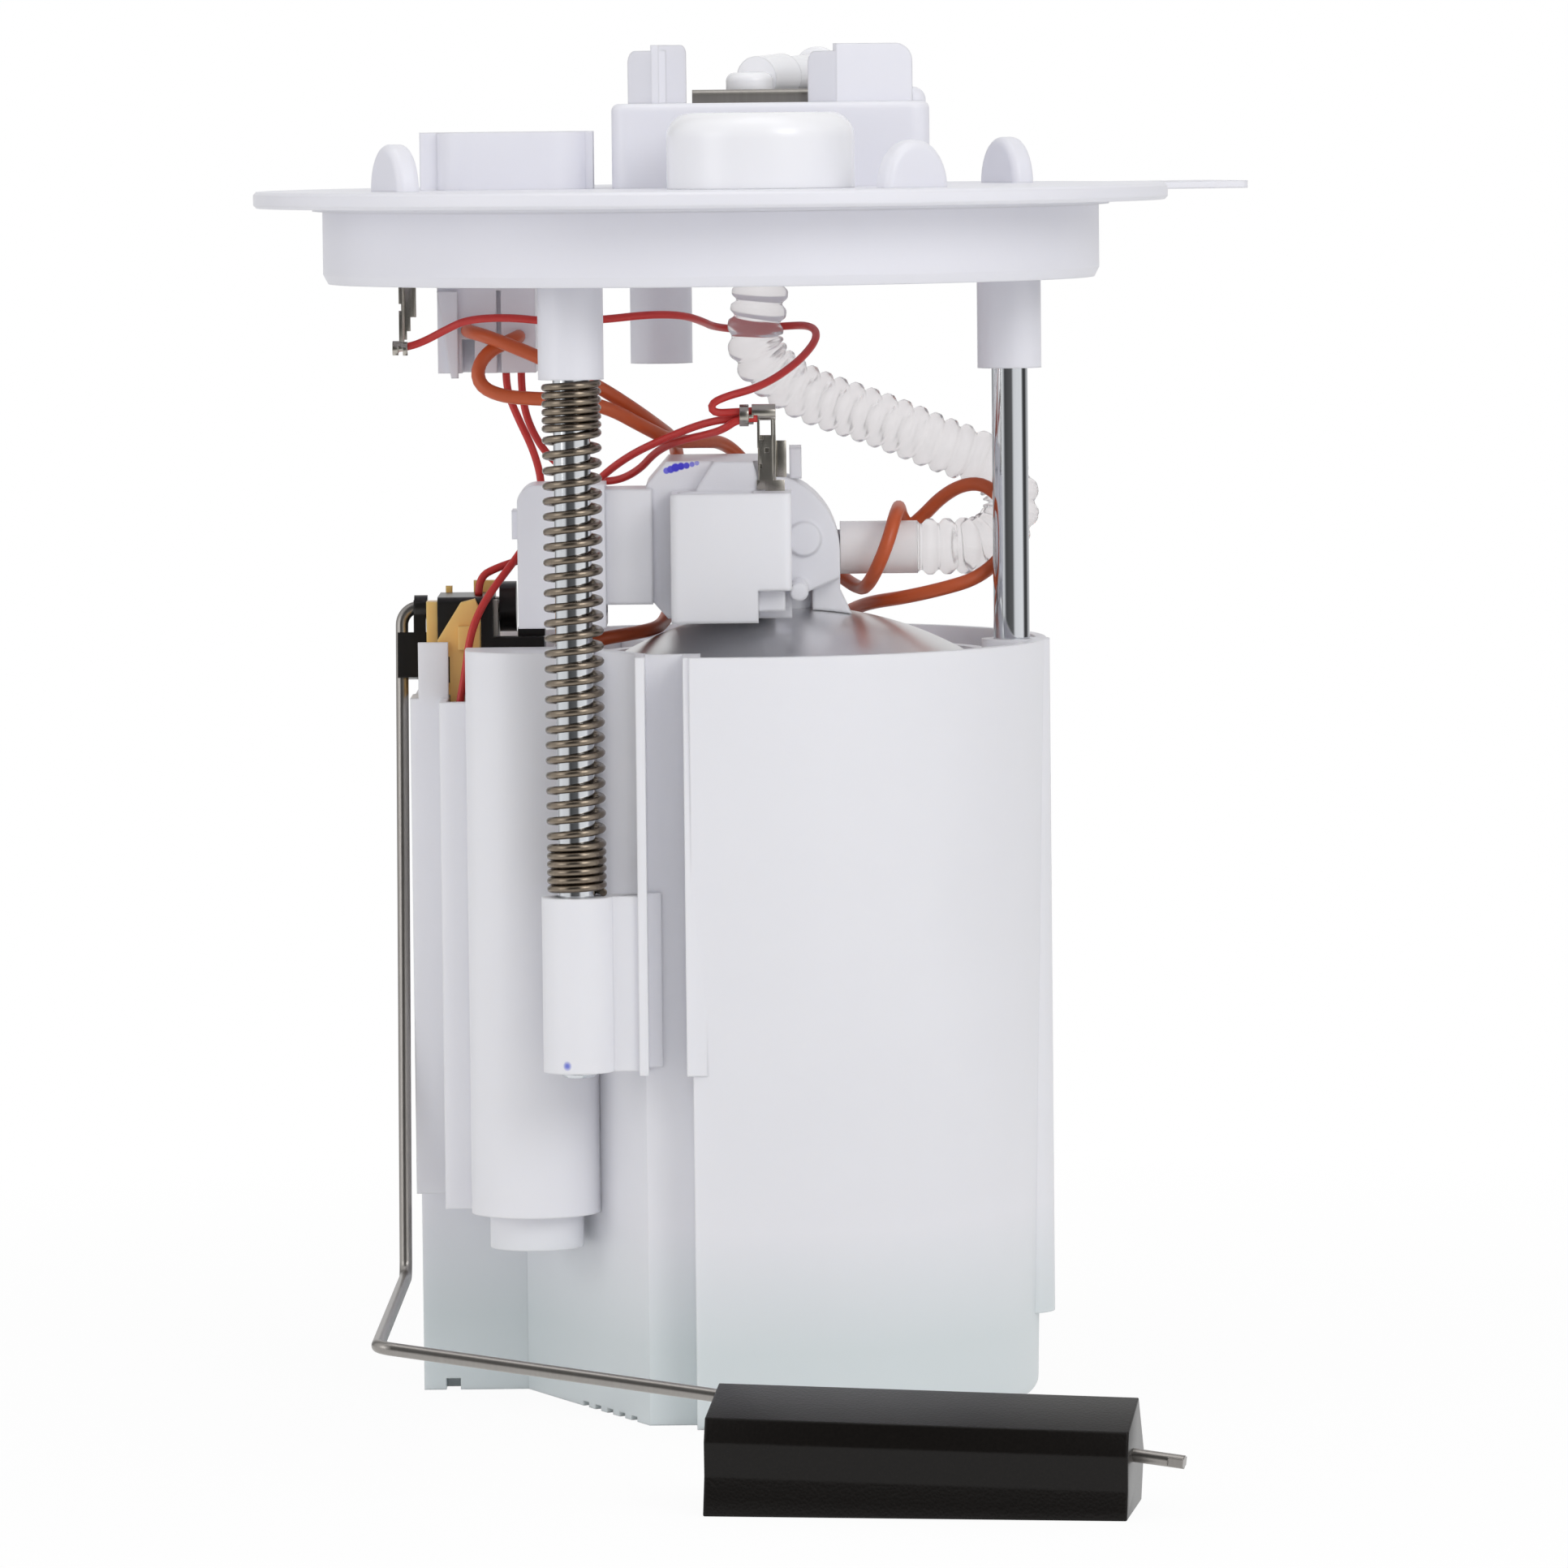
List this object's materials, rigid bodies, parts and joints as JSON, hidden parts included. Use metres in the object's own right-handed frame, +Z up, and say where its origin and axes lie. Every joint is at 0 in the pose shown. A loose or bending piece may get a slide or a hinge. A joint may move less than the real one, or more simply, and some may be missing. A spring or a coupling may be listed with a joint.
{
  "type": "fuel pump module",
  "caption": "In-tank fuel pump module: tank flange on sprung guide rods over a reservoir with pump, filter canister, hose and swinging level float.",
  "frame": {"origin": "centre of the tank flange's seating face, on the axis of its collar", "axes": "+Z up out of the tank; -Y is the side where the float hangs; +X towards the flange's lug"},
  "size_m": [0.1659, 0.2219, 0.2247],
  "materials": {
    "white_acetal": "satin moulded",
    "reservoir_polyethylene": "satin moulded, slightly translucent",
    "clear_nylon": "translucent",
    "bright_steel": "bright",
    "spring_steel": "drawn wire",
    "tinned_terminal": "tin plated",
    "clip_steel": "rolled",
    "black_acetal": "moulded",
    "amber_acetal": "moulded, translucent",
    "float_foam": "fine closed-cell skin",
    "arm_wire_steel": "drawn wire",
    "red_insulation": "extruded",
    "orange_insulation": "extruded",
    "black_rubber": "moulded",
    "filter_paper": "pleated",
    "ferrite": "pressed ferrite",
    "armature_iron": "stacked plates with resin",
    "sender_ceramic": "fired"
  },
  "bodies": {
    "reservoir_body": {"reservoir": "reservoir_polyethylene", "check_valve": "black_rubber", "canister": "bright_steel", "canister_base": "bright_steel", "canister_ring": "white_acetal", "filter_element": "filter_paper", "pump_isolator": "black_rubber", "strainer": "white_acetal", "filter_head": "white_acetal", "regulator_cover": "white_acetal", "pressure_regulator": "tinned_terminal", "hose_cuff": "clear_nylon", "spade_terminal": "tinned_terminal", "sender_bracket": "amber_acetal", "sender_carrier": "black_acetal", "resistor_card": "sender_ceramic", "pump_can": "bright_steel", "pump_outlet_cap": "black_acetal", "pump_inlet_cap": "black_acetal", "pump_magnets": "ferrite", "spring": "spring_steel", "fuel_hose": "clear_nylon", "ground_lead": "red_insulation", "sender_lead": "red_insulation", "return_lead": "red_insulation", "head_lead": "red_insulation", "pump_lead_a": "orange_insulation", "pump_lead_b": "orange_insulation"},
    "flange_body": {"flange": "white_acetal", "vent_valve_cap": "white_acetal", "outlet_clip": "clip_steel", "outlet_nipple": "white_acetal", "connector_pins": "tinned_terminal", "inner_plug": "white_acetal", "ground_terminal": "tinned_terminal", "left_guide_rod": "bright_steel", "right_guide_rod": "bright_steel", "stop_ring": "spring_steel"},
    "float_body": {"float_arm": "arm_wire_steel", "float": "float_foam", "arm_clip": "black_acetal", "wiper_hub": "black_acetal"},
    "pump_rotor": {"pump_armature": "armature_iron", "pump_impeller": "black_acetal"}
  },
  "joints": [
    {"name": "flange_slide", "type": "slide", "parent": "reservoir_body", "child": "flange_body", "axis": [0, 0, -1], "range_m": [0, 0.027], "stiffness_N_per_m": 1700, "springref_m": -0.003, "deforming": ["spring", "fuel_hose", "ground_lead", "sender_lead", "head_lead", "pump_lead_a", "pump_lead_b"]},
    {"name": "float_swing", "type": "hinge", "parent": "reservoir_body", "child": "float_body", "pos_m": [-0.0415, 0.008, -0.0669], "axis": [-1, 0, 0], "range_deg": [0, 52]},
    {"name": "pump_spin", "type": "hinge", "parent": "reservoir_body", "child": "pump_rotor", "pos_m": [0.0129, 0, -0.155], "axis": [0, 0, 1], "continuous": true}
  ]
}
